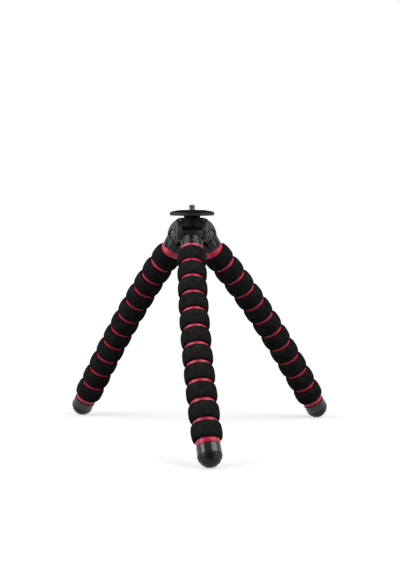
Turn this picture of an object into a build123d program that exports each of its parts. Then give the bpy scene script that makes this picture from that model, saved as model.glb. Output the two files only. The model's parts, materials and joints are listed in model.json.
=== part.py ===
from build123d import *
import math
import os

# Flexible leg tripod in millimetres, +Z up. The origin is on the camera screw's axis, at the pad's top face.
# The front leg leaves the hub towards -Y, and the two side legs leave it 120 degrees to either side.

# Shared allowances
OVERRUN = 1.0
RUNNING_FIT = 0.05
EDGE = 0.4

# Camera screw, a quarter inch thread with 20 turns to the inch
SCREW_R = 3.175
SCREW_TIP_Z = 5.4
SCREW_TIP_CHAMFER = 0.6
SCREW_RELIEF_R = 2.8
SCREW_RELIEF_T = 0.8
SCREW_HEAD_R = 4.7
SCREW_HEAD_T = 2.6
SCREW_HEAD_SINK = 0.3
SCREW_SLOT_W = 1.2
SCREW_SLOT_DEPTH = 1.3
SCREW_WASHER_T = 0.6
HEAD_ROOM = 0.2
JAM_NUT_FLATS = 11.1
JAM_NUT_T = 3.2

# Lock disc that is screwed up under the camera
PAD_R = 22.3
PAD_T = 2.2
PAD_FLAT_R = 13.0
PAD_EDGE_DROP = 1.6
PAD_ROUND = 0.5
PAD_BORE_R = 3.6
DISC_LIP = 0.4
DISC_T = 3.2
DISC_ROUND = 0.9
BOSS_R = 10.0
BOSS_H = 0.8
NECK_R = 8.3
NECK_LENGTH = 3.6
SLIP_RING_R = 6.0
SLIP_RING_T = 1.0
SLIP_RING_BORE_GAP = 0.15

# Hub with three forked arms
ARM_STEP_DEG = 120
HUB_GAP = 2.2
CORE_DROP = 5.0
EAR_R = 7.0
EAR_WALL = 3.1
EAR_ROUND = 2.0
DOME_R = 19.8
DOME_CUT = 0.308
DOME_LEAN_DEG = 12.6
CROWN_R = 18.2
CROWN_LAND = 3.3
CROWN_MARGIN = 0.57
TONGUE_GAP = 1.085
SLOT_BACK_GAP = 0.5
COLLAR_R = 9.8
COLLAR_LENGTH = 8.9
COLLAR_BORE_GAP = 0.4
COLLAR_BORE_DEPTH = 3.6

# Pivot bolts, M4, whose ends clear the next arm's bolts
BOLT_R = 2.0
BOLT_END_GAP = 0.6
BOLT_HEAD_R = 3.6
BOLT_HEAD_T = 2.0
BOLT_SLOT_W = 0.9
BOLT_SLOT_DEPTH = 0.9
BOLT_NUT_FLATS = 7.0
BOLT_NUT_T = 2.0
BOLT_RECESS_R = 4.9
BOLT_RECESS_DEPTH = 2.4
WASHER_R = 6.0
WASHER_T = 0.4

# Knuckle, the metal piece between hub and first bead
TONGUE_W = 20.0
SHOULDER = 7.4
FERRULE_R = 11.4
KNUCKLE_LENGTH = 21.0
KNUCKLE_GAP = 3.4
INSERT_R = 9.0
INSERT_DEPTH = 8.0

# Ball links, one in each bead
PITCH = 19.5
BALL_R = 7.5
BALL_FLAT = 4.0
NECK_LINK_R = 5.2
ROOF = 6.3
LINK_R = 11.4
RIM = 3.2
SOCKET_FLOOR = 5.8

# Foam sleeves
FOAM_R = 14.6
FOAM_LIP_R = 12.4
FOAM_CREST = 2.8
FOAM_GAP = 1.6
FOAM_FIT = 0.1

# Foot and its rubber tip
FOOT_R = 11.6
FOOT_START = 4.1
FOOT_END = 12.5
FOOT_DISH_GAP = 0.15
SPIGOT_R = 8.5
SPIGOT_END = 18.0
TIP_R = 11.8
TIP_CENTRE = 12.0
GROOVE_R = 0.45
GROOVE_LATITUDES_DEG = (20.0, 48.0, 66.0)

# The bend of the legs, in degrees: tilt from the vertical, and the sideways drift of each leg
FIRST_BEAD_TILT_DEG = 45.2
LAST_BEAD_TILT_DEG = 34.5
TILT_FADE_SHARE = 1.44
DRIFT_FADE_COUNT = 3
LEGS = {
    "front": {
        "azimuth": 0,
        "knuckle_tilt": 36.0,
        "bead_lean": -0.317,
        "early_drift": 0.9,
        "late_drift": 12.1,
    },
    "left": {
        "azimuth": -ARM_STEP_DEG,
        "knuckle_tilt": 32.2,
        "bead_lean": 0,
        "early_drift": -17.2,
        "late_drift": 4.0,
    },
    "right": {
        "azimuth": ARM_STEP_DEG,
        "knuckle_tilt": 32.2,
        "bead_lean": 0,
        "early_drift": 6.6,
        "late_drift": -1.1,
    },
}

# Beads that move as one, counted from the hub
SECTIONS = ((1, 2), (3, 4), (5, 6), (7, 8), (9, 10), (11,))
BEAD_COUNT = max(SECTIONS[-1])
FOOT_STATION = BEAD_COUNT + 1

# Widths across an arm, worked out from the tongue outwards
SLOT_W = TONGUE_W + 2 * (WASHER_T + 2 * RUNNING_FIT)
BOLT_SEAT = SLOT_W / 2 + EAR_WALL
EAR_SPAN = 2 * (BOLT_SEAT + BOLT_RECESS_DEPTH)
BOLT_END = BOLT_SEAT + max(BOLT_HEAD_T, BOLT_NUT_T)
NUT_CORNER_R = BOLT_NUT_FLATS / 2 / math.cos(math.radians(30))
BOLT_END_R = max(BOLT_HEAD_R, NUT_CORNER_R)

# Pivots as near the middle as the tongues and the bolts of two arms allow
HALF_STEP = math.radians(ARM_STEP_DEG / 2)
TONGUE_REACH = EAR_R + (TONGUE_W / 2 * math.cos(HALF_STEP) + TONGUE_GAP / 2) / math.sin(HALF_STEP)
BOLT_REACH = BOLT_END_R + (BOLT_END * math.cos(HALF_STEP) + BOLT_END_GAP / 2) / math.sin(HALF_STEP)
PIVOT_R = max(TONGUE_REACH, BOLT_REACH)
SLOT_BACK_R = PIVOT_R - EAR_R - SLOT_BACK_GAP

# Disc as wide as the pad and a lip round it
DISC_R = PAD_R + DISC_LIP

# Heights, worked out from the pad's top face down
DISC_BOTTOM_Z = -PAD_T - DISC_T
NECK_BOTTOM_Z = DISC_BOTTOM_Z - NECK_LENGTH
HUB_TOP_Z = DISC_BOTTOM_Z - HUB_GAP
COLLAR_BOTTOM_Z = HUB_TOP_Z - COLLAR_LENGTH
COLLAR_FLOOR_Z = HUB_TOP_Z - COLLAR_BORE_DEPTH
DOME_LEAN = math.radians(DOME_LEAN_DEG)
PIVOT_Z = HUB_TOP_Z + DOME_CUT - DOME_R + (DOME_R - EAR_R) * math.sin(DOME_LEAN)
HUB_CORE_BOTTOM_Z = PIVOT_Z - CORE_DROP
SCREW_HEAD_Z = HUB_CORE_BOTTOM_Z + SCREW_HEAD_SINK
SCREW_SEAT_Z = SCREW_HEAD_Z + SCREW_HEAD_T
SOCKET_R = BALL_R + RUNNING_FIT


def radial(azimuth):
    """Level direction away from the hub."""
    a = math.radians(azimuth)
    return Vector(math.sin(a), -math.cos(a), 0)


def tangent(azimuth):
    """Level direction along a leg's pivot bolt."""
    a = math.radians(azimuth)
    return Vector(math.cos(a), math.sin(a), 0)


def along(tilt, azimuth):
    """Direction of a leg that leans outwards by tilt from straight down."""
    t = math.radians(tilt)
    return radial(azimuth) * math.sin(t) - Vector(0, 0, 1) * math.cos(t)


def outward(tilt, azimuth):
    """Direction square to the leg, in its upright plane, on its outer side."""
    t = math.radians(tilt)
    return radial(azimuth) * math.cos(t) + Vector(0, 0, 1) * math.sin(t)


def bead_tilt(leg, bead):
    """Tilt of a bead, from the first bead's down to the last bead's."""
    left = 1 - (bead - 1) / (BEAD_COUNT - 1)
    fade = (FIRST_BEAD_TILT_DEG - LAST_BEAD_TILT_DEG) * left ** TILT_FADE_SHARE
    return leg["bead_lean"] + LAST_BEAD_TILT_DEG + fade


def bead_azimuth(leg, bead):
    """Azimuth of a bead, with the drift near the hub and the drift along the leg."""
    early = 1 - max(0, 1 - bead / DRIFT_FADE_COUNT) ** 2
    late = (bead - 1) / (BEAD_COUNT - 1)
    return leg["azimuth"] + leg["early_drift"] * early + leg["late_drift"] * late


def pivot_point(leg):
    """Middle of a leg's pivot bolt."""
    return radial(leg["azimuth"]) * PIVOT_R + Vector(0, 0, PIVOT_Z)


def leg_frames(leg):
    """Planes at the pivot and at each ball, with Z along the leg and X on its outer side."""
    tilt, azimuth = leg["knuckle_tilt"], leg["azimuth"]
    origin = pivot_point(leg)
    step = KNUCKLE_LENGTH
    frames = []
    for station in range(FOOT_STATION + 1):
        if 0 < station < FOOT_STATION:
            tilt, azimuth = bead_tilt(leg, station), bead_azimuth(leg, station)
        if station > 0:
            origin = origin + frames[-1].z_dir * step
            step = PITCH
        frames.append(Plane(origin, x_dir=outward(tilt, azimuth), z_dir=along(tilt, azimuth)))
    return frames


def height_on(radius, distance):
    """Other leg of a right triangle, for a point on a ball."""
    return math.sqrt(radius ** 2 - distance ** 2)


def zone(centre, radius, start, end):
    """Arc about a point of the axis, between two heights above that point."""
    middle = (start + end) / 2
    return ThreePointArc(
        (height_on(radius, start), centre + start),
        (height_on(radius, middle), centre + middle),
        (height_on(radius, end), centre + end),
    )


def tube(outer, inner, bottom, top):
    """Ring about the Z axis."""
    ring = Pos(0, 0, bottom) * extrude(Circle(outer), top - bottom)
    bore = Pos(0, 0, bottom - OVERRUN) * extrude(Circle(inner), top - bottom + 2 * OVERRUN)
    return ring - bore


def rod(radius, bottom, top):
    """Cylinder about the Z axis."""
    return Pos(0, 0, bottom) * extrude(Circle(radius), top - bottom)


def hexagon(flats, bottom, top):
    """Hexagonal prism about the Z axis, by its width across flats."""
    return Pos(0, 0, bottom) * extrude(RegularPolygon(flats / 2, 6, major_radius=False), top - bottom)


def edges_at(piece, height, radius):
    """Round edges of a turned piece at one height and radius."""
    return [
        edge for edge in piece.edges().filter_by(GeomType.CIRCLE)
        if abs(edge.center().Z - height) < RUNNING_FIT and abs(edge.radius - radius) < RUNNING_FIT
    ]


def arm_plane(azimuth):
    """Upright plane of an arm, with X outwards, Y up and Z against the pivot bolt's head."""
    return Plane((0, 0, 0), x_dir=radial(azimuth), z_dir=-tangent(azimuth))


def arm():
    """One forked arm of the hub, before its slot is cut, in its own upright plane."""
    dome_x = PIVOT_R - (DOME_R - EAR_R) * math.cos(DOME_LEAN)
    apex = HUB_TOP_Z + DOME_CUT
    back = min(0, dome_x - OVERRUN)
    middle = (math.radians(90) + DOME_LEAN) / 2
    blend = (PIVOT_R + EAR_R * math.cos(DOME_LEAN), PIVOT_Z + EAR_R * math.sin(DOME_LEAN))
    core_w = EAR_SPAN - 2 * EAR_ROUND
    with BuildPart() as piece:
        with BuildSketch():
            with BuildLine():
                Polyline((PIVOT_R - EAR_R, PIVOT_Z), (back, PIVOT_Z), (back, apex), (dome_x, apex))
                ThreePointArc(
                    (dome_x, apex),
                    (dome_x + DOME_R * math.cos(middle), apex - DOME_R + DOME_R * math.sin(middle)),
                    blend,
                )
                ThreePointArc(blend, (PIVOT_R, PIVOT_Z - EAR_R), (PIVOT_R - EAR_R, PIVOT_Z))
            make_face()
        extrude(amount=EAR_SPAN / 2, both=True)
        fillet(piece.edges().filter_by(GeomType.CIRCLE), EAR_ROUND)
    core = Pos(PIVOT_R / 2, PIVOT_Z - CORE_DROP / 2, 0) * Box(PIVOT_R, CORE_DROP, core_w)
    return piece.part + core


def crown():
    """Turned envelope that rounds the shoulders of all three arms."""
    rim = math.hypot(PIVOT_R + EAR_R, EAR_SPAN / 2) + CROWN_MARGIN
    ring = rim - CROWN_R
    low = HUB_TOP_Z - height_on(CROWN_R, CROWN_LAND)
    bottom = HUB_CORE_BOTTOM_Z - EAR_R
    lean = math.radians(45)
    with BuildPart() as piece:
        with BuildSketch(Plane.XZ):
            with BuildLine():
                Polyline(
                    (ring + CROWN_LAND, HUB_TOP_Z),
                    (0, HUB_TOP_Z),
                    (0, bottom),
                    (rim, bottom),
                    (rim, low),
                )
                ThreePointArc(
                    (rim, low),
                    (ring + CROWN_R * math.cos(lean), low + CROWN_R * math.sin(lean)),
                    (ring + CROWN_LAND, HUB_TOP_Z),
                )
            make_face()
        revolve(axis=Axis.Z)
    return piece.part


def slot_box(back, bottom, top):
    """Box as wide as a slot, from a back wall out past the ears, in an arm's plane."""
    reach = PIVOT_R + EAR_R + OVERRUN - back
    return Pos(back + reach / 2, (bottom + top) / 2, 0) * Box(reach, top - bottom, SLOT_W)


def slot_cutter():
    """Space of a leg's tongue between the two ears: round the pivot, below it and above it."""
    cutter = Pos(PIVOT_R, PIVOT_Z, 0) * rod(EAR_R + SLOT_BACK_GAP, -SLOT_W / 2, SLOT_W / 2)
    cutter += slot_box(SLOT_BACK_R, PIVOT_Z - EAR_R - OVERRUN, PIVOT_Z)
    return cutter + slot_box(COLLAR_R, PIVOT_Z, HUB_TOP_Z + OVERRUN)


def bolt_cutter():
    """Bolt hole and its two recesses, along an arm's pivot."""
    depth = BOLT_RECESS_DEPTH + OVERRUN
    cutter = rod(BOLT_R + RUNNING_FIT, -EAR_SPAN / 2, EAR_SPAN / 2)
    cutter += rod(BOLT_RECESS_R, BOLT_SEAT, BOLT_SEAT + depth)
    cutter += rod(BOLT_RECESS_R, -BOLT_SEAT - depth, -BOLT_SEAT)
    return Pos(PIVOT_R, PIVOT_Z, 0) * cutter


def hub_body():
    """Cast hub: three forked arms round a collar that carries the camera screw."""
    planes = [arm_plane(leg["azimuth"]) for leg in LEGS.values()]
    body = planes[0] * arm()
    for plane in planes[1:]:
        body += plane * arm()
    body &= crown()
    for plane in planes:
        body -= plane * slot_cutter()
    body += rod(COLLAR_R, COLLAR_BOTTOM_Z, HUB_TOP_Z)
    for plane in planes:
        body -= plane * bolt_cutter()
    body -= rod(NECK_R + COLLAR_BORE_GAP, COLLAR_FLOOR_Z, HUB_TOP_Z + OVERRUN)
    body -= hexagon(JAM_NUT_FLATS + 2 * RUNNING_FIT, COLLAR_FLOOR_Z - JAM_NUT_T, COLLAR_FLOOR_Z + OVERRUN)
    body -= rod(SCREW_R + RUNNING_FIT, HUB_CORE_BOTTOM_Z - OVERRUN, HUB_TOP_Z)
    body -= rod(SCREW_HEAD_R + HEAD_ROOM, HUB_CORE_BOTTOM_Z - OVERRUN, SCREW_SEAT_Z + SCREW_WASHER_T)
    return body


def bolt_frame(leg):
    """Plane at a leg's pivot with Z towards the bolt's head."""
    return Plane(pivot_point(leg), x_dir=radial(leg["azimuth"]), z_dir=tangent(leg["azimuth"]))


def pivot_bolt():
    """Slotted bolt, with its head on the +Z side."""
    bolt = rod(BOLT_R, -EAR_SPAN / 2, BOLT_SEAT)
    bolt += rod(BOLT_HEAD_R, BOLT_SEAT, BOLT_SEAT + BOLT_HEAD_T)
    top = BOLT_SEAT + BOLT_HEAD_T
    slot = Pos(0, 0, top) * Box(2 * BOLT_HEAD_R + OVERRUN, BOLT_SLOT_W, 2 * BOLT_SLOT_DEPTH)
    return bolt - slot


def pivot_nut():
    """Thin nut in the recess across from the bolt's head."""
    nut = hexagon(BOLT_NUT_FLATS, -BOLT_SEAT - BOLT_NUT_T, -BOLT_SEAT)
    return nut - rod(BOLT_R + RUNNING_FIT, -BOLT_SEAT - BOLT_NUT_T - OVERRUN, -BOLT_SEAT + OVERRUN)


def pivot_washers_of(leg):
    """Friction washers on both sides of a leg's tongue."""
    near = TONGUE_W / 2 + RUNNING_FIT
    bore = BOLT_R + RUNNING_FIT
    places = ((near, near + WASHER_T), (-near - WASHER_T, -near))
    return [bolt_frame(leg) * tube(WASHER_R, bore, bottom, top) for bottom, top in places]


def camera_screw():
    """Quarter inch screw that stands through hub and disc, with its head under the hub."""
    screw = rod(SCREW_R, SCREW_SEAT_Z, SCREW_TIP_Z)
    screw += rod(SCREW_HEAD_R, SCREW_HEAD_Z, SCREW_SEAT_Z)
    screw = chamfer(edges_at(screw, SCREW_TIP_Z, SCREW_R), SCREW_TIP_CHAMFER)
    screw -= tube(SCREW_R + OVERRUN, SCREW_RELIEF_R, -SCREW_RELIEF_T, 0)
    slot = Pos(0, 0, SCREW_HEAD_Z) * Box(2 * SCREW_HEAD_R + OVERRUN, SCREW_SLOT_W, 2 * SCREW_SLOT_DEPTH)
    return screw - slot


def screw_washer():
    """Washer between the camera screw's head and the hub."""
    return tube(SCREW_HEAD_R, SCREW_R + RUNNING_FIT, SCREW_SEAT_Z, SCREW_SEAT_Z + SCREW_WASHER_T)


def screw_jam_nut():
    """Nut that holds the camera screw in the hub, flush with the collar's floor."""
    nut = hexagon(JAM_NUT_FLATS, COLLAR_FLOOR_Z - JAM_NUT_T, COLLAR_FLOOR_Z)
    return nut - rod(SCREW_R + RUNNING_FIT, COLLAR_FLOOR_Z - JAM_NUT_T - OVERRUN, COLLAR_FLOOR_Z + OVERRUN)


def lock_disc():
    """Disc with a neck, threaded on the camera screw, and bored below for the slip ring."""
    with BuildPart() as piece:
        with BuildSketch(Plane.XZ):
            with BuildLine():
                Polyline(
                    (0, -PAD_T),
                    (DISC_R, -PAD_T),
                    (DISC_R, DISC_BOTTOM_Z),
                    (BOSS_R, DISC_BOTTOM_Z),
                    (NECK_R, DISC_BOTTOM_Z - BOSS_H),
                    (NECK_R, NECK_BOTTOM_Z),
                    (0, NECK_BOTTOM_Z),
                    close=True,
                )
            make_face()
        revolve(axis=Axis.Z)
    disc = fillet(edges_at(piece.part, DISC_BOTTOM_Z, DISC_R), DISC_ROUND)
    disc = fillet(edges_at(disc, -PAD_T, DISC_R), EDGE)
    disc -= rod(SCREW_R + RUNNING_FIT, NECK_BOTTOM_Z - OVERRUN, OVERRUN)
    seat = NECK_BOTTOM_Z + SLIP_RING_T + RUNNING_FIT
    return disc - rod(SLIP_RING_R + RUNNING_FIT, NECK_BOTTOM_Z - OVERRUN, seat)


def disc_pad():
    """Rubber pad under the camera, flat in the middle and sloping to a rounded rim."""
    with BuildPart() as piece:
        with BuildSketch(Plane.XZ):
            with BuildLine():
                Polyline(
                    (PAD_BORE_R, -PAD_T),
                    (PAD_R, -PAD_T),
                    (PAD_R, -PAD_EDGE_DROP),
                    (PAD_FLAT_R, 0),
                    (PAD_BORE_R, 0),
                    close=True,
                )
            make_face()
        revolve(axis=Axis.Z)
    return fillet(edges_at(piece.part, -PAD_EDGE_DROP, PAD_R), PAD_ROUND)


def slip_ring():
    """Nylon ring in the neck, which rises with the disc and doesn't turn."""
    bore = SCREW_R + SLIP_RING_BORE_GAP
    return tube(SLIP_RING_R, bore, NECK_BOTTOM_Z, NECK_BOTTOM_Z + SLIP_RING_T)


def knuckle():
    """Tongue with a round end on the bolt, and a ferrule bored for the first socket."""
    end = KNUCKLE_LENGTH - KNUCKLE_GAP
    tongue = Rot(90, 0, 0) * extrude(Circle(EAR_R), TONGUE_W / 2, both=True)
    tongue += Pos(0, 0, SHOULDER / 2) * Box(2 * EAR_R, TONGUE_W, SHOULDER)
    ferrule = chamfer(edges_at(rod(FERRULE_R, SHOULDER, end), SHOULDER, FERRULE_R), EDGE)
    body = tongue + ferrule
    body -= rod(INSERT_R + RUNNING_FIT, end - INSERT_DEPTH, end + OVERRUN)
    body -= Rot(90, 0, 0) * extrude(Circle(BOLT_R + RUNNING_FIT), TONGUE_W / 2 + OVERRUN, both=True)
    return body


def socket_outline(station, floor):
    """Edges of a dome and its socket about a ball's centre, from the outer wall to the axis."""
    zone(station, LINK_R, 0, RIM)
    Line((height_on(LINK_R, RIM), station + RIM), (height_on(SOCKET_R, RIM), station + RIM))
    zone(station, SOCKET_R, RIM, -floor)
    Line((height_on(SOCKET_R, floor), station - floor), (0, station - floor))


def knuckle_socket():
    """Red socket pressed into the knuckle, which holds the first ball."""
    end = KNUCKLE_LENGTH - KNUCKLE_GAP
    back = end - INSERT_DEPTH + RUNNING_FIT
    with BuildPart() as piece:
        with BuildSketch(Plane.XZ):
            with BuildLine():
                Polyline(
                    (0, back),
                    (INSERT_R, back),
                    (INSERT_R, end),
                    (LINK_R, end),
                    (LINK_R, KNUCKLE_LENGTH),
                )
                socket_outline(KNUCKLE_LENGTH, SOCKET_FLOOR)
                Line((0, KNUCKLE_LENGTH - SOCKET_FLOOR), (0, back))
            make_face()
        revolve(axis=Axis.Z)
    return piece.part


def ball_outline(roof_end):
    """Edges of a ball with its neck, from the axis out to the end of the roof over the neck."""
    neck_start = height_on(BALL_R, NECK_LINK_R)
    Line((0, -BALL_FLAT), (height_on(BALL_R, BALL_FLAT), -BALL_FLAT))
    zone(0, BALL_R, -BALL_FLAT, neck_start)
    Polyline((NECK_LINK_R, neck_start), (NECK_LINK_R, ROOF), (roof_end, ROOF))


def ball_link():
    """Ball, neck and barrel, with the socket for the next ball at its end."""
    with BuildPart() as piece:
        with BuildSketch(Plane.XZ):
            with BuildLine():
                ball_outline(LINK_R)
                Line((LINK_R, ROOF), (LINK_R, PITCH))
                socket_outline(PITCH, SOCKET_FLOOR)
                Line((0, PITCH - SOCKET_FLOOR), (0, -BALL_FLAT))
            make_face()
        revolve(axis=Axis.Z)
    return piece.part


def foam_sleeve():
    """Foam bead round a link's barrel, full in the middle and drawn in at both lips."""
    bore = LINK_R + FOAM_FIT
    middle = PITCH / 2
    bottom, top = FOAM_GAP, PITCH - FOAM_GAP
    with BuildPart() as piece:
        with BuildSketch(Plane.XZ):
            with BuildLine():
                Polyline(
                    (bore, bottom),
                    (FOAM_LIP_R, bottom),
                    (FOAM_R, middle - FOAM_CREST),
                    (FOAM_R, middle + FOAM_CREST),
                    (FOAM_LIP_R, top),
                    (bore, top),
                    close=True,
                )
            make_face()
        revolve(axis=Axis.Z)
    return piece.part


def foot():
    """Last ball and neck with a dished ferrule, and a spigot for the rubber tip."""
    dish_r = LINK_R + FOOT_DISH_GAP
    with BuildPart() as piece:
        with BuildSketch(Plane.XZ):
            with BuildLine():
                ball_outline(height_on(dish_r, ROOF))
                Polyline(
                    (height_on(dish_r, ROOF), ROOF),
                    (height_on(dish_r, FOOT_START), FOOT_START),
                    (FOOT_R, FOOT_START),
                    (FOOT_R, FOOT_END),
                    (SPIGOT_R, FOOT_END),
                    (SPIGOT_R, SPIGOT_END),
                    (0, SPIGOT_END),
                    (0, -BALL_FLAT),
                )
            make_face()
        revolve(axis=Axis.Z)
    return piece.part


def foot_tip():
    """Round rubber tip with grooves, hollow for the foot's spigot."""
    hollow = SPIGOT_R + RUNNING_FIT
    floor = SPIGOT_END + RUNNING_FIT
    start = FOOT_END + RUNNING_FIT
    with BuildPart() as piece:
        with BuildSketch(Plane.XZ):
            with BuildLine():
                zone(TIP_CENTRE, TIP_R, start - TIP_CENTRE, TIP_R)
                Polyline(
                    (0, TIP_CENTRE + TIP_R),
                    (0, floor),
                    (hollow, floor),
                    (hollow, start),
                    (height_on(TIP_R, start - TIP_CENTRE), start),
                )
            make_face()
        revolve(axis=Axis.Z)
    tip = piece.part
    for latitude in GROOVE_LATITUDES_DEG:
        a = math.radians(latitude)
        place = Plane.XZ * Pos(TIP_R * math.sin(a), TIP_CENTRE + TIP_R * math.cos(a), 0)
        groove = place * groove_section(latitude)
        tip -= revolve(groove, Axis.Z)
    return tip


def groove_section(latitude):
    """Small square on its corner, whose inner half cuts a groove."""
    return Rot(0, 0, -latitude) * RegularPolygon(GROOVE_R, 4)


def head_nodes():
    """Pieces of the hub, the camera screw and the lock disc."""
    legs = LEGS.values()
    return {
        "hub_body": [hub_body()],
        "pivot_bolts": [bolt_frame(leg) * pivot_bolt() for leg in legs],
        "pivot_nuts": [bolt_frame(leg) * pivot_nut() for leg in legs],
        "pivot_washers": [washer for leg in legs for washer in pivot_washers_of(leg)],
        "camera_screw": [camera_screw()],
        "screw_washer": [screw_washer()],
        "screw_jam_nut": [screw_jam_nut()],
        "slip_ring": [slip_ring()],
        "lock_disc": [lock_disc()],
        "disc_pad": [disc_pad()],
    }


def leg_nodes(name, leg, link, sleeve):
    """Pieces of one leg, from the knuckle to the rubber tip."""
    frames = leg_frames(leg)
    nodes = {
        f"{name}_knuckle": [frames[0] * knuckle()],
        f"{name}_knuckle_socket": [frames[0] * knuckle_socket()],
        f"{name}_foot": [frames[FOOT_STATION] * foot()],
        f"{name}_foot_tip": [frames[FOOT_STATION] * foot_tip()],
    }
    for number, beads in enumerate(SECTIONS, start=1):
        nodes[f"{name}_links_{number}"] = [frames[bead] * link for bead in beads]
        nodes[f"{name}_foams_{number}"] = [frames[bead] * sleeve for bead in beads]
    return nodes


def solids_of(pieces):
    """Every solid of a node's pieces, in one list."""
    return [solid for piece in pieces for solid in piece.solids()]


def all_nodes():
    """Every node of the tripod, by name."""
    nodes = head_nodes()
    link, sleeve = ball_link(), foam_sleeve()
    for name, leg in LEGS.items():
        nodes.update(leg_nodes(name, leg, link, sleeve))
    return nodes


def main():
    """Write each node to its own file."""
    os.makedirs("parts", exist_ok=True)
    for name, pieces in all_nodes().items():
        solids = solids_of(pieces)
        shape = solids[0] if len(solids) == 1 else Compound(children=solids)
        shape.label = name
        export_step(shape, f"parts/{name}.step")


if __name__ == "__main__":
    main()
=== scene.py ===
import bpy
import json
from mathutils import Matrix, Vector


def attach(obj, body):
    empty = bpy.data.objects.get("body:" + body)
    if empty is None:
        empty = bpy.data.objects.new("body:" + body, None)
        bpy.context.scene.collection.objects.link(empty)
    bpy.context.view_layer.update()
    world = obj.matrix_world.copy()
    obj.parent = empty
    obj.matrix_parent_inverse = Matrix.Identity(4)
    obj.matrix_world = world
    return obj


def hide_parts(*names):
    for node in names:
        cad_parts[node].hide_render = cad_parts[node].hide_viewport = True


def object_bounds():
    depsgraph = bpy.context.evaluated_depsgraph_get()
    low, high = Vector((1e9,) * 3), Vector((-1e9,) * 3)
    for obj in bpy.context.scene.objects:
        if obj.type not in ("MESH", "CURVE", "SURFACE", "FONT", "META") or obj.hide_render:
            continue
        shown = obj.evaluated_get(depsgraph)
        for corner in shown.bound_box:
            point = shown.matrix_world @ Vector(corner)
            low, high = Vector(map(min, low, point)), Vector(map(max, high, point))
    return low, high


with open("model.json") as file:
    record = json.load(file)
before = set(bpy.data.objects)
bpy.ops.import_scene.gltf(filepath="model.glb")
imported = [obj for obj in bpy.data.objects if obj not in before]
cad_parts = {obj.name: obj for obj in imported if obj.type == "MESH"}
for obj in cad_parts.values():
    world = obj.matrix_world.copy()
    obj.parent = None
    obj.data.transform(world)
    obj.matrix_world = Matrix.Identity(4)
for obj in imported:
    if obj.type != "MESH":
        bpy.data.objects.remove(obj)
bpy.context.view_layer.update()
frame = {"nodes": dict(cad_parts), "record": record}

import json
import math

import bmesh
import bpy
from mathutils import Matrix, Vector, noise

# Sizes and places in metres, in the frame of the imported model
MM = 0.001

# Camera and frame of the photograph
FRAME_HEIGHT_PX = 570
SENSOR = 36.0
CAMERA_PLACE = (8.1 * MM, -1349 * MM, 28.2 * MM)
CAMERA_PITCH_DEG = 4.44
FOCAL_PX = 1322.0

# Leg pose, as in the model
PIVOT_R = 13.4 * MM
PIVOT_Z = -24.3 * MM
KNUCKLE_LENGTH = 21.0 * MM
PITCH = 19.5 * MM
BEADS = 11
FIRST_BEAD_TILT = 45.2
LAST_BEAD_TILT = 34.5
TILT_FADE_POWER = 1.44
DRIFT_BEADS = 3
LEGS = {
    "front": {"azimuth": 0, "knuckle": 36.0, "lean": -0.317, "early_drift": 0.9, "late_drift": 12.1},
    "left": {"azimuth": -120, "knuckle": 32.2, "lean": 0, "early_drift": -17.2, "late_drift": 4.0},
    "right": {"azimuth": 120, "knuckle": 32.2, "lean": 0, "early_drift": 6.6, "late_drift": -1.1},
}
SECTIONS = ((1, 2), (3, 4), (5, 6), (7, 8), (9, 10), (11,))

# Foam beads
FOAM_R = 14.75 * MM
FOAM_LIP_R = 12.3 * MM
FOAM_BORE_R = 11.5 * MM
FOAM_GAP = 1.6 * MM
FOAM_EDGE = 0.3 * MM
FOAM_POWER = 2.4
FOAM_STEPS = 14
FOAM_DENT = 0.10 * MM
FOAM_DENT_SIZE = 7 * MM
FOAM_DENT_SEED = 7
AROUND = 72

# Lock disc, camera screw and its thread
THREAD_LEAD = 1.27 * MM
SCREW_R = 3.175 * MM
THREAD_DEPTH = 0.62 * MM
SCREW_TIP_Z = 5.4 * MM
SCREW_TIP_CHAMFER = 0.6 * MM
SCREW_SEAT_Z = -26.4 * MM
SCREW_HEAD_Z = -29.0 * MM
SCREW_HEAD_R = 4.7 * MM
SCREW_HEAD_EDGE = 0.3 * MM
SCREW_HEAD_AROUND = 60
SCREW_SLOT_W = 1.2 * MM
SCREW_SLOT_DEPTH = 1.3 * MM
COLLAR_R = 9.8 * MM
DISC_R = 22.7 * MM
DISC_TOP_Z = -2.2 * MM
DISC_BOTTOM_Z = -5.4 * MM
DISC_BORE_R = 3.225 * MM
DISC_ROUND = 0.9 * MM
BOSS_R = 10.0 * MM
NECK_R = 8.3 * MM
NECK_TOP_Z = -6.2 * MM
NECK_BOTTOM_Z = -9.0 * MM
RING_SEAT_R = 6.05 * MM
RING_SEAT_Z = -7.95 * MM
KNURL_TEETH = 110
KNURL_DEPTH = 0.22 * MM
KNURL_STEPS = 6

# Rubber tip of a foot, from its last ball
TIP_R = 11.8 * MM
TIP_CENTRE = 12.0 * MM
TIP_START = 12.55 * MM
TIP_HOLLOW_R = 8.55 * MM
TIP_HOLLOW_FLOOR = 18.05 * MM
TIP_RIDGE_DEG = (64.0, 46.0, 28.0)
TIP_RIDGE_STEP = 0.8 * MM
TIP_RIDGE_RISE_DEG = 1.2
TIP_RIDGE_RUN_DEG = 15.0
TIP_TOP_DEG = 86
TIP_STEPS_PER_DEG = 2
TIP_AROUND = 96

# Rounded copies of nodes: edge widths, and limits for welding, flat faces, sharp edges and creases
HUB_EDGE = 0.35 * MM
KNUCKLE_EDGE = 0.35 * MM
BOLT_EDGE = 0.25 * MM
EDGE_SEGMENTS = 3
WELD_DISTANCE = 0.002 * MM
FLAT_DEG = 1.0
SHARP_DEG = 32
COPY_CREASE_DEG = 40
HEAD_CREASE_DEG = 35

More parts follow.
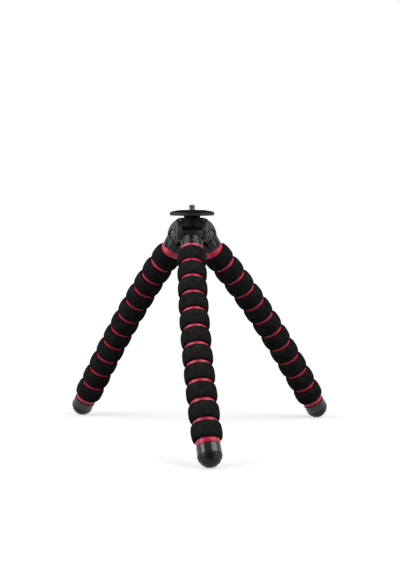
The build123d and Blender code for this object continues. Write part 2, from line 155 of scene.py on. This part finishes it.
# Looks: colours between low and high, roughness between two limits, noise scales and heights of relief
NOISE_FROM = 0.3
NOISE_TO = 0.7
FOAM_LOW = (0.0105, 0.0105, 0.0110)
FOAM_HIGH = (0.0180, 0.0180, 0.0187)
FOAM_ROUGH = (0.75, 0.95)
FOAM_TONE_SCALE = 180
FOAM_GRAIN_SCALE = 900
FOAM_GRAIN_HEIGHT = 0.12 * MM
FOAM_GRAIN_STRENGTH = 0.6
FOAM_PORE_SCALE = 2600
FOAM_PORE_HEIGHT = 0.10 * MM
FOAM_PORE_STRENGTH = 0.5
GLOSS_TONE_SCALE = 160
GLOSS_GRAIN_STRENGTH = 0.4
GLOSS_COAT_ROUGHNESS = 0.08
METAL_TONE_SCALE = 220
METAL_GRAIN_STRENGTH = 0.35
# Black of the collar round the screw, partly the collar's own black and partly painted shade of the
# recess between the ears, fading out just past the collar
COLLAR_BLACK_AND_SHADE = (0.006, 0.006, 0.0065, 1)
COLLAR_SHADE_FADE_FROM = COLLAR_R + 0.1 * MM
COLLAR_SHADE_FADE_TO = COLLAR_R + 0.6 * MM
DARK_STEEL_NODES = ("pivot_bolts", "pivot_nuts")
GLOSS_LOOKS = {
    "link_plastic": {
        "low": (0.49, 0.006, 0.034),
        "high": (0.57, 0.010, 0.049),
        "rough": (0.28, 0.38),
        "grain_scale": 700,
        "grain_height": 0.006 * MM,
        "level": 0.42,
    },
    "foot_plastic": {
        "low": (0.006, 0.006, 0.0065),
        "high": (0.009, 0.009, 0.010),
        "rough": (0.07, 0.12),
        "grain_scale": 500,
        "grain_height": 0.004 * MM,
        "coat": 0.4,
        "level": 0.3,
    },
    "tip_rubber": {
        "low": (0.005, 0.005, 0.0055),
        "high": (0.009, 0.009, 0.010),
        "rough": (0.30, 0.42),
        "grain_scale": 1500,
        "grain_height": 0.015 * MM,
        "level": 0.22,
    },
    "pad_rubber": {
        "low": (0.005, 0.005, 0.0055),
        "high": (0.009, 0.009, 0.010),
        "rough": (0.55, 0.75),
        "grain_scale": 1800,
        "grain_height": 0.04 * MM,
        "level": 0.0,
    },
    "nylon": {
        "low": (0.66, 0.65, 0.61),
        "high": (0.72, 0.71, 0.67),
        "rough": (0.40, 0.55),
        "grain_scale": 900,
        "grain_height": 0.02 * MM,
    },
}
HUB_LOOK = {
    "low": (0.030, 0.030, 0.0312),
    "high": (0.041, 0.041, 0.0427),
    "rough": (0.36, 0.46),
    "grain_scale": 2200,
    "grain_height": 0.03 * MM,
    "metallic": 0.75,
}
METAL_LOOKS = {
    "disc_metal": {
        "low": (0.014, 0.014, 0.015),
        "high": (0.022, 0.022, 0.024),
        "rough": (0.32, 0.45),
        "grain_scale": 2200,
        "grain_height": 0.04 * MM,
        "metallic": 0.75,
    },
    "knuckle_metal": {
        "low": (0.012, 0.012, 0.013),
        "high": (0.019, 0.019, 0.021),
        "rough": (0.14, 0.22),
        "grain_scale": 1400,
        "grain_height": 0.012 * MM,
        "metallic": 0.8,
    },
    "bolt_metal": {
        "low": (0.034, 0.034, 0.0355),
        "high": (0.050, 0.050, 0.052),
        "rough": (0.34, 0.46),
        "grain_scale": 2400,
        "grain_height": 0.02 * MM,
        "metallic": 0.8,
    },
    "steel": {
        "low": (0.13, 0.13, 0.134),
        "high": (0.17, 0.17, 0.175),
        "rough": (0.30, 0.42),
        "grain_scale": 2400,
        "grain_height": 0.02 * MM,
    },
}

# World: fill light, and white that dims towards the ceiling by the height of the direction
FILL_STRENGTH = 0.25
WHITE_STRENGTH = 1.0
CEILING_STRENGTH = 0.4
CEILING_FROM = 0.4
CEILING_TO = 0.75

# Floor: its grey to light and to the camera, and its glow, which grows with the distance
FLOOR_HALF = 3.0
FLOOR_GREY = (0.2, 0.2, 0.2, 1)
FLOOR_ROUGHNESS = 0.9
FLOOR_LEVEL = 0.1
FLOOR_SEEN_GREY = (0.42, 0.42, 0.42, 1)
GLOW_FROM = 0.25
GLOW_TO = 1.6
GLOW_NEAR = 0.60
GLOW_FAR = 0.94

# Dark card behind the camera
CARD_HALF = 1.15
CARD_LOW_Z = -0.22
CARD_HIGH_Z = 1.2
CARD_Y = -1.65
CARD_GREY = (0.01, 0.01, 0.01, 1)
CARD_ROUGHNESS = 0.95

# Lamps, with power in watts
LAMP_TARGET = (0, 0, -0.08)
LAMPS = {
    "left_softbox": {"place": (-0.94, -0.25, 0.75), "size": (0.95, 1.2), "power": 14},
    "right_softbox": {"place": (0.78, -0.35, 0.88), "size": (1.0, 1.2), "power": 14},
    "left_low_softbox": {"place": (-1.25, -0.6, 0.1), "size": (0.4, 0.6), "power": 4},
    "right_low_softbox": {"place": (1.25, -0.6, 0.1), "size": (0.4, 0.6), "power": 2.5},
}


def along(tilt, azimuth):
    """Direction down a leg, tilted outwards from straight down."""
    t, a = math.radians(tilt), math.radians(azimuth)
    return Vector((math.sin(t) * math.sin(a), -math.sin(t) * math.cos(a), -math.cos(t)))


def outward(tilt, azimuth):
    """Direction across a leg, on its outer side."""
    t, a = math.radians(tilt), math.radians(azimuth)
    return Vector((math.cos(t) * math.sin(a), -math.cos(t) * math.cos(a), math.sin(t)))


def station_frame(origin, tilt, azimuth):
    """Matrix of a leg's piece, with Z along the leg and X on its outer side."""
    z, x = along(tilt, azimuth), outward(tilt, azimuth)
    y = z.cross(x)
    columns = Matrix((x, y, z)).transposed().to_4x4()
    return Matrix.Translation(origin) @ columns


def leg_frames(leg):
    """Matrices at the pivot and at each ball of a leg, as in the model."""
    azimuth = leg["azimuth"]
    origin = along(90, azimuth) * PIVOT_R + Vector((0, 0, PIVOT_Z))
    direction = along(leg["knuckle"], azimuth)
    frames = [station_frame(origin, leg["knuckle"], azimuth)]
    step = KNUCKLE_LENGTH
    for bead in range(1, BEADS + 2):
        origin = origin + direction * step
        step = PITCH
        along_leg = (min(bead, BEADS) - 1) / (BEADS - 1)
        early = 1 - max(0, 1 - bead / DRIFT_BEADS) ** 2
        turn = azimuth + leg["early_drift"] * early + leg["late_drift"] * along_leg
        fade = (FIRST_BEAD_TILT - LAST_BEAD_TILT) * (1 - along_leg) ** TILT_FADE_POWER
        tilt = LAST_BEAD_TILT + fade + leg["lean"]
        direction = along(tilt, turn)
        frames.append(station_frame(origin, tilt, turn))
    return frames


def new_object(name, mesh):
    """Object of a mesh, placed in the scene."""
    piece = bpy.data.objects.new(name, mesh)
    bpy.context.scene.collection.objects.link(piece)
    return piece


def lathe(name, outline, place, around=AROUND, wobble=None):
    """Turns an outline of (radius, height) points about Z, as a ring unless it starts on the axis."""
    bm = bmesh.new()
    on_axis = outline[0][0] == 0
    rings = []
    for radius, height in outline:
        if radius == 0:
            rings.append([bm.verts.new((0, 0, height))])
            continue
        ring = []
        for i in range(around):
            a = 2 * math.pi * i / around
            ring.append(bm.verts.new((radius * math.cos(a), radius * math.sin(a), height)))
        rings.append(ring)
    pairs = list(zip(rings, rings[1:]))
    if not on_axis:
        pairs.append((rings[-1], rings[0]))
    for low, high in pairs:
        for i in range(around):
            j = (i + 1) % around
            corners = [low[i % len(low)], low[j % len(low)], high[j % len(high)], high[i % len(high)]]
            bm.faces.new(list(dict.fromkeys(corners)))
    bm.transform(place)
    if wobble:
        for v in bm.verts:
            v.co += wobble(v.co)
    bmesh.ops.recalc_face_normals(bm, faces=bm.faces)
    mesh = bpy.data.meshes.new(name)
    bm.to_mesh(mesh)
    bm.free()
    mesh.shade_smooth()
    return new_object(name, mesh)


# Materials


def material(name):
    """New node material and its shader."""
    made = bpy.data.materials.new(name)
    made.use_nodes = True
    shader = made.node_tree.nodes["Principled BSDF"]
    return made, made.node_tree, shader


def texture(tree, kind, scale, **settings):
    """Procedural texture in the object's own space."""
    place = tree.nodes.new("ShaderNodeTexCoord")
    made = tree.nodes.new(kind)
    tree.links.new(place.outputs["Object"], made.inputs["Vector"])
    made.inputs["Scale"].default_value = scale
    for key, value in settings.items():
        made.inputs[key].default_value = value
    return made


def ramp(tree, value, low, high, low_at=0.35, high_at=0.65):
    """Colour ramp between two colours."""
    made = tree.nodes.new("ShaderNodeValToRGB")
    tree.links.new(value, made.inputs["Fac"])
    made.color_ramp.elements[0].position = low_at
    made.color_ramp.elements[0].color = (*low, 1)
    made.color_ramp.elements[1].position = high_at
    made.color_ramp.elements[1].color = (*high, 1)
    return made.outputs["Color"]


def spread(tree, value, low, high):
    """Number between two limits."""
    made = tree.nodes.new("ShaderNodeMapRange")
    tree.links.new(value, made.inputs["Value"])
    made.inputs["From Min"].default_value = NOISE_FROM
    made.inputs["From Max"].default_value = NOISE_TO
    made.inputs["To Min"].default_value = low
    made.inputs["To Max"].default_value = high
    return made.outputs["Result"]


def bump(tree, shader, heights):
    """Chain of bumps, from (height, distance in metres, strength)."""
    normal = None
    for height, distance, strength in heights:
        node = tree.nodes.new("ShaderNodeBump")
        node.inputs["Distance"].default_value = distance
        node.inputs["Strength"].default_value = strength
        tree.links.new(height, node.inputs["Height"])
        if normal:
            tree.links.new(normal, node.inputs["Normal"])
        normal = node.outputs["Normal"]
    tree.links.new(normal, shader.inputs["Normal"])


def foam_material():
    """Dull black foam with a grain and fine pores."""
    made, tree, shader = material("foam")
    tone = texture(tree, "ShaderNodeTexNoise", FOAM_TONE_SCALE, Detail=4)
    pores = texture(tree, "ShaderNodeTexVoronoi", FOAM_PORE_SCALE)
    grain = texture(tree, "ShaderNodeTexNoise", FOAM_GRAIN_SCALE, Detail=6)
    tree.links.new(ramp(tree, tone.outputs["Fac"], FOAM_LOW, FOAM_HIGH), shader.inputs["Base Color"])
    tree.links.new(spread(tree, grain.outputs["Fac"], *FOAM_ROUGH), shader.inputs["Roughness"])
    shader.inputs["Specular IOR Level"].default_value = 0.0
    heights = [
        (grain.outputs["Fac"], FOAM_GRAIN_HEIGHT, FOAM_GRAIN_STRENGTH),
        (pores.outputs["Distance"], FOAM_PORE_HEIGHT, FOAM_PORE_STRENGTH),
    ]
    bump(tree, shader, heights)
    return made


def gloss_material(name, low, high, rough, grain_scale, grain_height, coat=0.0, level=0.5):
    """Moulded or coated surface with a faint unevenness."""
    made, tree, shader = material(name)
    shader.inputs["Specular IOR Level"].default_value = level
    tone = texture(tree, "ShaderNodeTexNoise", GLOSS_TONE_SCALE, Detail=3)
    grain = texture(tree, "ShaderNodeTexNoise", grain_scale, Detail=5)
    tree.links.new(ramp(tree, tone.outputs["Fac"], low, high), shader.inputs["Base Color"])
    tree.links.new(spread(tree, grain.outputs["Fac"], *rough), shader.inputs["Roughness"])
    shader.inputs["Coat Weight"].default_value = coat
    shader.inputs["Coat Roughness"].default_value = GLOSS_COAT_ROUGHNESS
    bump(tree, shader, [(grain.outputs["Fac"], grain_height, GLOSS_GRAIN_STRENGTH)])
    return made


def metal_material(name, low, high, rough, grain_scale, grain_height, metallic=1.0):
    """Metal, bare or thinly coated, with a grain."""
    made, tree, shader = material(name)
    tone = texture(tree, "ShaderNodeTexNoise", METAL_TONE_SCALE, Detail=4)
    grain = texture(tree, "ShaderNodeTexNoise", grain_scale, Detail=6)
    tree.links.new(ramp(tree, tone.outputs["Fac"], low, high), shader.inputs["Base Color"])
    tree.links.new(spread(tree, grain.outputs["Fac"], *rough), shader.inputs["Roughness"])
    shader.inputs["Metallic"].default_value = metallic
    bump(tree, shader, [(grain.outputs["Fac"], grain_height, METAL_GRAIN_STRENGTH)])
    return made


def hub_material():
    """Satin grey coat outside, and black on the collar round the screw, which is partly a black collar
    and partly painted shade of the recess between the ears.
    """
    made = metal_material("hub_metal", **HUB_LOOK)
    tree = made.node_tree
    shader = tree.nodes["Principled BSDF"]
    grey = shader.inputs["Base Color"].links[0].from_socket
    # Painted shade: the base colour turns black within the collar's radius of the axis, over the collar
    # and the hub's top round the neck
    place = tree.nodes.new("ShaderNodeTexCoord")
    flat = tree.nodes.new("ShaderNodeVectorMath")
    flat.operation = "MULTIPLY"
    flat.inputs[1].default_value = (1, 1, 0)
    reach = tree.nodes.new("ShaderNodeVectorMath")
    reach.operation = "LENGTH"
    edge = tree.nodes.new("ShaderNodeMapRange")
    edge.inputs["From Min"].default_value = COLLAR_SHADE_FADE_FROM
    edge.inputs["From Max"].default_value = COLLAR_SHADE_FADE_TO
    edge.inputs["To Min"].default_value = 1
    edge.inputs["To Max"].default_value = 0
    mix = tree.nodes.new("ShaderNodeMixRGB")
    mix.inputs["Color2"].default_value = COLLAR_BLACK_AND_SHADE
    tree.links.new(place.outputs["Object"], flat.inputs[0])
    tree.links.new(flat.outputs["Vector"], reach.inputs[0])
    tree.links.new(reach.outputs["Value"], edge.inputs["Value"])
    tree.links.new(edge.outputs["Result"], mix.inputs["Fac"])
    tree.links.new(grey, mix.inputs["Color1"])
    tree.links.new(mix.outputs["Color"], shader.inputs["Base Color"])
    return made


MATERIALS = {"foam": foam_material()}
for look_name, look_values in GLOSS_LOOKS.items():
    MATERIALS[look_name] = gloss_material(look_name, **look_values)
MATERIALS["hub_metal"] = hub_material()
for look_name, look_values in METAL_LOOKS.items():
    MATERIALS[look_name] = metal_material(look_name, **look_values)


def dress(piece, slot, look=None):
    """Gives a piece the material of its slot, or a darker look of the same material."""
    piece.data.materials.clear()
    piece.data.materials.append(MATERIALS[look or slot])


def dress_cad():
    """Gives each node of the model the material of its slot in the record."""
    slots = {row["node"]: row["material_slot"] for row in frame["record"]["subparts"]}
    for name, node in frame["nodes"].items():
        node.data.materials.clear()
        look = "bolt_metal" if name in DARK_STEEL_NODES else slots[name]
        node.data.materials.append(MATERIALS[look])


# Pieces


def foam_outline():
    """Outline of a bead: crown, rounded lips and bore."""
    bottom, top = FOAM_GAP, PITCH - FOAM_GAP
    middle, half = PITCH / 2, PITCH / 2 - FOAM_GAP
    outline = []
    for i in range(-FOAM_STEPS, FOAM_STEPS + 1):
        u = math.sin(math.pi / 2 * i / FOAM_STEPS)
        radius = FOAM_LIP_R + (FOAM_R - FOAM_LIP_R) * math.sqrt(max(0, 1 - abs(u) ** FOAM_POWER))
        outline.append((radius, middle + half * u))
    outline += [(FOAM_BORE_R + FOAM_EDGE, top), (FOAM_BORE_R, top - FOAM_EDGE)]
    outline += [(FOAM_BORE_R, bottom + FOAM_EDGE), (FOAM_BORE_R + FOAM_EDGE, bottom)]
    return outline


def foam_wobble(co):
    """Slight unevenness of cut foam."""
    return noise.noise_vector(co / FOAM_DENT_SIZE) * FOAM_DENT


def make_foams(name, frames):
    """Beads of a leg, each riding on the section that its node belongs to."""
    for number, beads in enumerate(SECTIONS, start=1):
        for bead in beads:
            piece = lathe(f"{name}_foam_bead_{bead}", foam_outline(), frames[bead], wobble=foam_wobble)
            dress(piece, "foam")
            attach(piece, f"{name}_section_{number}")
            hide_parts(f"{name}_foams_{number}")


def edge_arc(radius, height, size, start_deg, end_deg, steps=4):
    """Points of a rounded edge about a centre, by angle from the outward direction."""
    angles = [start_deg + (end_deg - start_deg) * i / steps for i in range(steps + 1)]
    return [
        (radius + size * math.cos(math.radians(a)), height + size * math.sin(math.radians(a)))
        for a in angles
    ]


def make_disc():
    """Lock disc with a knurled rim, a boss and a neck."""
    low = DISC_BOTTOM_Z + DISC_ROUND
    high = DISC_TOP_Z - DISC_ROUND / 2
    outline = [(DISC_BORE_R, RING_SEAT_Z), (DISC_BORE_R, DISC_TOP_Z), (DISC_R - DISC_ROUND, DISC_TOP_Z)]
    outline += edge_arc(DISC_R - DISC_ROUND / 2, high, DISC_ROUND / 2, 90, 0)
    outline += [(DISC_R, high + (low - high) * share) for share in (0.25, 0.5, 0.75)]
    outline += edge_arc(DISC_R - DISC_ROUND, low, DISC_ROUND, 0, -90)
    corner = edge_arc(BOSS_R + DISC_ROUND / 2, DISC_BOTTOM_Z - DISC_ROUND / 2, DISC_ROUND / 2, 90, 180)
    outline += corner[0:3]
    outline += [(NECK_R + DISC_ROUND / 3, NECK_TOP_Z), (NECK_R, NECK_TOP_Z - DISC_ROUND / 3)]
    outline += [(NECK_R, NECK_BOTTOM_Z + DISC_ROUND / 3), (NECK_R - DISC_ROUND / 3, NECK_BOTTOM_Z)]
    outline += [(RING_SEAT_R, NECK_BOTTOM_Z), (RING_SEAT_R, RING_SEAT_Z)]

    def knurl(co):
        radius = math.hypot(co.x, co.y)
        if radius < DISC_R - DISC_ROUND / 4 or co.z > high or co.z < low:
            return Vector()
        turn = math.atan2(co.y, co.x) / (2 * math.pi) * KNURL_TEETH
        depth = KNURL_DEPTH * abs(2 * (turn % 1) - 1)
        return Vector((-co.x / radius * depth, -co.y / radius * depth, 0))

    piece = lathe("knurled_disc", outline, Matrix(), around=KNURL_TEETH * KNURL_STEPS, wobble=knurl)
    dress(piece, "disc_metal")
    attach(piece, "lock_disc")
    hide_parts("lock_disc")


def make_screw():
    """Camera screw with its thread, and a slotted head under the hub."""
    around = 48
    rows_per_turn = 10
    bm = bmesh.new()
    length = SCREW_TIP_Z - SCREW_SEAT_Z
    rows = int(length / THREAD_LEAD * rows_per_turn)
    rings = []
    for row in range(rows + 1):
        height = SCREW_SEAT_Z + length * row / rows
        ring = []
        for i in range(around):
            share = i / around
            crest = abs(2 * ((height / THREAD_LEAD - share) % 1) - 1)
            radius = SCREW_R - THREAD_DEPTH * crest
            radius = min(radius, SCREW_R + SCREW_TIP_Z - SCREW_TIP_CHAMFER - height)
            a = 2 * math.pi * share
            ring.append(bm.verts.new((radius * math.cos(a), radius * math.sin(a), height)))
        rings.append(ring)
    for low, high in zip(rings, rings[1:]):
        for i in range(around):
            j = (i + 1) % around
            bm.faces.new((low[i], low[j], high[j], high[i]))
    bm.faces.new(rings[-1])
    bm.faces.new(list(reversed(rings[0])))
    bmesh.ops.recalc_face_normals(bm, faces=bm.faces)
    mesh = bpy.data.meshes.new("threaded_screw")
    bm.to_mesh(mesh)
    bm.free()
    shank = new_object("threaded_screw", mesh)
    mesh.shade_smooth()
    dress(shank, "steel")
    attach(shank, "hub")
    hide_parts("camera_screw")
    make_screw_head()


def make_screw_head():
    """Head as two halves of a round, with the slot between them and a floor above it."""
    bm = bmesh.new()
    steps = 28
    half_slot = SCREW_SLOT_W / 2
    floor = SCREW_HEAD_Z + SCREW_SLOT_DEPTH
    edge = SCREW_HEAD_EDGE
    for side in (1, -1):
        start = math.asin(half_slot / SCREW_HEAD_R)
        layers = []
        for height, inset in ((SCREW_HEAD_Z, edge), (SCREW_HEAD_Z + edge, 0), (floor, 0)):
            radius = SCREW_HEAD_R - inset
            layer = []
            for i in range(steps + 1):
                a = start + (math.pi - 2 * start) * i / steps
                layer.append(bm.verts.new((radius * math.cos(a), side * radius * math.sin(a), height)))
            layers.append(layer)
        for low, high in zip(layers, layers[1:]):
            for i in range(steps):
                bm.faces.new((low[i], low[i + 1], high[i + 1], high[i]))
            bm.faces.new((low[-1], low[0], high[0], high[-1]))
        bm.faces.new(layers[0])
    bmesh.ops.recalc_face_normals(bm, faces=bm.faces)
    mesh = bpy.data.meshes.new("screw_head_halves")
    bm.to_mesh(mesh)
    bm.free()
    halves = new_object("screw_head_halves", mesh)
    outline = [(0, floor), (SCREW_HEAD_R, floor), (SCREW_HEAD_R, SCREW_SEAT_Z - edge)]
    outline += [(SCREW_HEAD_R - edge, SCREW_SEAT_Z), (0, SCREW_SEAT_Z)]
    base = lathe("screw_head", outline, Matrix(), around=SCREW_HEAD_AROUND)
    for piece in (halves, base):
        sharpen(piece, HEAD_CREASE_DEG)
        dress(piece, "steel")
        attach(piece, "hub")


def sharpen(piece, angle_deg):
    """Keeps edges sharper than an angle crisp in the shading."""
    piece.data.shade_smooth()
    piece.data.set_sharp_from_angle(angle=math.radians(angle_deg))


def soften(node, body, slot, width, look=None):
    """Makes a copy of a node with its sharp edges rounded, which stands for the node."""
    mesh = frame["nodes"][node].data.copy()
    mesh.name = f"{node}_round"
    bm = bmesh.new()
    bm.from_mesh(mesh)
    bmesh.ops.remove_doubles(bm, verts=bm.verts, dist=WELD_DISTANCE)
    bmesh.ops.dissolve_limit(bm, angle_limit=math.radians(FLAT_DEG), verts=bm.verts, edges=bm.edges)
    limit = math.radians(SHARP_DEG)
    sharp = [e for e in bm.edges if len(e.link_faces) == 2 and e.calc_face_angle(0) > limit]
    bmesh.ops.bevel(
        bm,
        geom=sharp,
        offset=width,
        offset_type="OFFSET",
        segments=EDGE_SEGMENTS,
        profile=0.5,
        affect="EDGES",
        clamp_overlap=True,
    )
    bm.to_mesh(mesh)
    bm.free()
    piece = new_object(f"{node}_round", mesh)
    sharpen(piece, COPY_CREASE_DEG)
    dress(piece, slot, look)
    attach(piece, body)
    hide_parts(node)


def tip_outline():
    """Outline of a rubber tip: a ball with stepped ridges, hollow above for the foot's spigot."""
    outline = [(0, TIP_HOLLOW_FLOOR), (TIP_HOLLOW_R, TIP_HOLLOW_FLOOR), (TIP_HOLLOW_R, TIP_START)]
    outline.append((math.sqrt(TIP_R ** 2 - (TIP_START - TIP_CENTRE) ** 2), TIP_START))
    steps = TIP_TOP_DEG * TIP_STEPS_PER_DEG
    for i in range(steps + 1):
        a = TIP_TOP_DEG * (1 - i / steps)
        sunk = 0
        for ridge in TIP_RIDGE_DEG:
            past = ridge - a
            if 0 <= past < TIP_RIDGE_RUN_DEG:
                sunk = TIP_RIDGE_STEP * min(past / TIP_RIDGE_RISE_DEG, 1 - past / TIP_RIDGE_RUN_DEG)
        radius = TIP_R - sunk
        turned = math.radians(a)
        outline.append((radius * math.sin(turned), TIP_CENTRE + radius * math.cos(turned)))
    outline[-1] = (0, outline[-1][1])
    return outline


def make_tip(name, frames):
    """Rubber tip on a foot."""
    piece = lathe(f"{name}_ridged_tip", tip_outline(), frames[BEADS + 1], around=TIP_AROUND)
    dress(piece, "tip_rubber")
    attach(piece, f"{name}_foot")
    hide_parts(f"{name}_foot_tip")


# Stage


def make_camera():
    """Camera at the photograph's place and angle."""
    data = bpy.data.cameras.new("camera")
    data.sensor_width = SENSOR
    data.lens = SENSOR * FOCAL_PX / FRAME_HEIGHT_PX
    camera = bpy.data.objects.new("camera", data)
    bpy.context.scene.collection.objects.link(camera)
    camera.location = CAMERA_PLACE
    camera.rotation_euler = (math.radians(90 - CAMERA_PITCH_DEG), 0, 0)
    bpy.context.scene.camera = camera


def make_world():
    """White to the camera and to reflections under a dimmer ceiling, and fill light to surfaces."""
    world = bpy.data.worlds.new("world")
    bpy.context.scene.world = world
    world.use_nodes = True
    tree = world.node_tree
    tree.nodes.clear()
    path = tree.nodes.new("ShaderNodeLightPath")
    fill = tree.nodes.new("ShaderNodeBackground")
    fill.inputs["Color"].default_value = (1, 1, 1, 1)
    fill.inputs["Strength"].default_value = FILL_STRENGTH
    seen = tree.nodes.new("ShaderNodeBackground")
    seen.inputs["Color"].default_value = (1, 1, 1, 1)
    way = tree.nodes.new("ShaderNodeTexCoord")
    split = tree.nodes.new("ShaderNodeSeparateXYZ")
    ceiling = tree.nodes.new("ShaderNodeMapRange")
    ceiling.interpolation_type = "SMOOTHSTEP"
    ceiling.inputs["From Min"].default_value = CEILING_FROM
    ceiling.inputs["From Max"].default_value = CEILING_TO
    ceiling.inputs["To Min"].default_value = WHITE_STRENGTH
    ceiling.inputs["To Max"].default_value = CEILING_STRENGTH
    tree.links.new(way.outputs["Generated"], split.inputs[0])
    tree.links.new(split.outputs["Z"], ceiling.inputs["Value"])
    tree.links.new(ceiling.outputs["Result"], seen.inputs["Strength"])
    add = tree.nodes.new("ShaderNodeMath")
    add.operation = "ADD"
    more = tree.nodes.new("ShaderNodeMath")
    more.operation = "ADD"
    more.use_clamp = True
    mix = tree.nodes.new("ShaderNodeMixShader")
    out = tree.nodes.new("ShaderNodeOutputWorld")
    tree.links.new(path.outputs["Is Camera Ray"], add.inputs[0])
    tree.links.new(path.outputs["Is Glossy Ray"], add.inputs[1])
    tree.links.new(add.outputs[0], more.inputs[0])
    tree.links.new(path.outputs["Is Transmission Ray"], more.inputs[1])
    tree.links.new(more.outputs[0], mix.inputs["Fac"])
    tree.links.new(fill.outputs[0], mix.inputs[1])
    tree.links.new(seen.outputs[0], mix.inputs[2])
    tree.links.new(mix.outputs[0], out.inputs["Surface"])


def make_floor():
    """Pale floor that keeps the shadow and meets the white background."""
    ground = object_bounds()[0][2]
    size = FLOOR_HALF
    mesh = bpy.data.meshes.new("floor")
    corners = [(-size, -size, ground), (size, -size, ground)]
    corners += [(size, size, ground), (-size, size, ground)]
    mesh.from_pydata(corners, [], [(0, 1, 2, 3)])
    floor = new_object("floor", mesh)
    made, tree, shader = material("floor")
    shader.inputs["Base Color"].default_value = FLOOR_GREY
    shader.inputs["Roughness"].default_value = FLOOR_ROUGHNESS
    shader.inputs["Specular IOR Level"].default_value = FLOOR_LEVEL
    path = tree.nodes.new("ShaderNodeLightPath")
    glow = tree.nodes.new("ShaderNodeEmission")
    place = tree.nodes.new("ShaderNodeTexCoord")
    away = tree.nodes.new("ShaderNodeVectorMath")
    away.operation = "LENGTH"
    fade = tree.nodes.new("ShaderNodeMapRange")
    fade.interpolation_type = "SMOOTHSTEP"
    fade.inputs["From Min"].default_value = GLOW_FROM
    fade.inputs["From Max"].default_value = GLOW_TO
    fade.inputs["To Min"].default_value = GLOW_NEAR
    fade.inputs["To Max"].default_value = GLOW_FAR
    tree.links.new(place.outputs["Object"], away.inputs[0])
    tree.links.new(away.outputs["Value"], fade.inputs["Value"])
    tree.links.new(fade.outputs["Result"], glow.inputs["Strength"])
    both = tree.nodes.new("ShaderNodeAddShader")
    pale = tree.nodes.new("ShaderNodeBsdfDiffuse")
    pale.inputs["Color"].default_value = FLOOR_SEEN_GREY
    add = tree.nodes.new("ShaderNodeMath")
    add.operation = "ADD"
    add.use_clamp = True
    mix = tree.nodes.new("ShaderNodeMixShader")
    out = tree.nodes["Material Output"]
    tree.links.new(path.outputs["Is Camera Ray"], add.inputs[0])
    tree.links.new(path.outputs["Is Glossy Ray"], add.inputs[1])
    tree.links.new(add.outputs[0], mix.inputs["Fac"])
    tree.links.new(glow.outputs[0], both.inputs[0])
    tree.links.new(pale.outputs[0], both.inputs[1])
    tree.links.new(shader.outputs[0], mix.inputs[1])
    tree.links.new(both.outputs[0], mix.inputs[2])
    tree.links.new(mix.outputs[0], out.inputs["Surface"])
    mesh.materials.append(made)


def make_card():
    """Dark card, as in a studio, so that what faces the camera reflects little light."""
    mesh = bpy.data.meshes.new("flag")
    corners = [(-CARD_HALF, CARD_Y, CARD_LOW_Z), (CARD_HALF, CARD_Y, CARD_LOW_Z)]
    corners += [(CARD_HALF, CARD_Y, CARD_HIGH_Z), (-CARD_HALF, CARD_Y, CARD_HIGH_Z)]
    mesh.from_pydata(corners, [], [(0, 1, 2, 3)])
    card = new_object("flag", mesh)
    made, tree, shader = material("flag")
    shader.inputs["Base Color"].default_value = CARD_GREY
    shader.inputs["Roughness"].default_value = CARD_ROUGHNESS
    shader.inputs["Specular IOR Level"].default_value = 0.0
    path = tree.nodes.new("ShaderNodeLightPath")
    clear = tree.nodes.new("ShaderNodeBsdfTransparent")
    mix = tree.nodes.new("ShaderNodeMixShader")
    tree.links.new(path.outputs["Is Camera Ray"], mix.inputs["Fac"])
    tree.links.new(shader.outputs[0], mix.inputs[1])
    tree.links.new(clear.outputs[0], mix.inputs[2])
    tree.links.new(mix.outputs[0], tree.nodes["Material Output"].inputs["Surface"])
    mesh.materials.append(made)


def make_lamps():
    """Soft lamps that point at the middle of the part."""
    for name, lamp_values in LAMPS.items():
        data = bpy.data.lights.new(name, "AREA")
        data.shape = "RECTANGLE"
        data.size, data.size_y = lamp_values["size"]
        data.energy = lamp_values["power"]
        lamp = bpy.data.objects.new(name, data)
        bpy.context.scene.collection.objects.link(lamp)
        lamp.location = lamp_values["place"]
        way = Vector(LAMP_TARGET) - Vector(lamp_values["place"])
        lamp.rotation_euler = way.to_track_quat("-Z", "Y").to_euler()


make_camera()
make_world()
make_floor()
make_card()
make_lamps()
bpy.context.scene.view_settings.view_transform = "Standard"
dress_cad()
make_disc()
make_screw()
soften("hub_body", "hub", "hub_metal", HUB_EDGE)
soften("pivot_bolts", "hub", "steel", BOLT_EDGE, "bolt_metal")
noise.seed_set(FOAM_DENT_SEED)
for leg_name, leg in LEGS.items():
    places = leg_frames(leg)
    soften(f"{leg_name}_knuckle", f"{leg_name}_knuckle", "knuckle_metal", KNUCKLE_EDGE)
    make_foams(leg_name, places)
    make_tip(leg_name, places)
